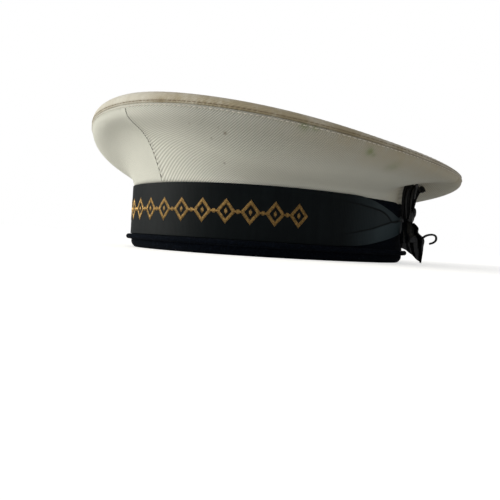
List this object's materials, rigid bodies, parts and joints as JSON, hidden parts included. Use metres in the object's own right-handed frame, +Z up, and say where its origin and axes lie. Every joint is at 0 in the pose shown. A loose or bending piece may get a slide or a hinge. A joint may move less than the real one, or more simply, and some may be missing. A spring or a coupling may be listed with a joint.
{
  "type": "sailor cap",
  "caption": "Sailor's cap with a wide round white twill crown flaring from a navy wool head band, piping near its rim, and a black silk ribbon tied in a bow at the side.",
  "frame": {"origin": "middle of the head band's oval rim, on the surface that the cap rests on", "axes": "+Z up through the crown, -Y towards the front of the cap, +X towards the wearer's left"},
  "size_m": [0.2498, 0.273, 0.0893],
  "materials": {
    "white_twill": "off-white cotton twill, matt",
    "white_twill_top": "yellowed off-white cotton twill, matt",
    "navy_wool": "navy wool cloth with a short nap",
    "navy_piping": "navy wool over a cord",
    "black_silk": "black ribbed silk ribbon with a row of woven gilt lozenges",
    "bow_silk": "black ribbed silk"
  },
  "bodies": {
    "root": {"crown_top": "white_twill_top", "side_panel_left": "white_twill", "side_panel_right": "white_twill", "back_panel": "white_twill", "head_band": "navy_wool", "band_welt": "navy_piping", "cap_ribbon": "black_silk", "bow_knot": "bow_silk", "bow_loop_upper": "bow_silk", "bow_loop_rear": "bow_silk", "bow_tail": "bow_silk", "bow_wisp": "bow_silk"}
  },
  "joints": []
}
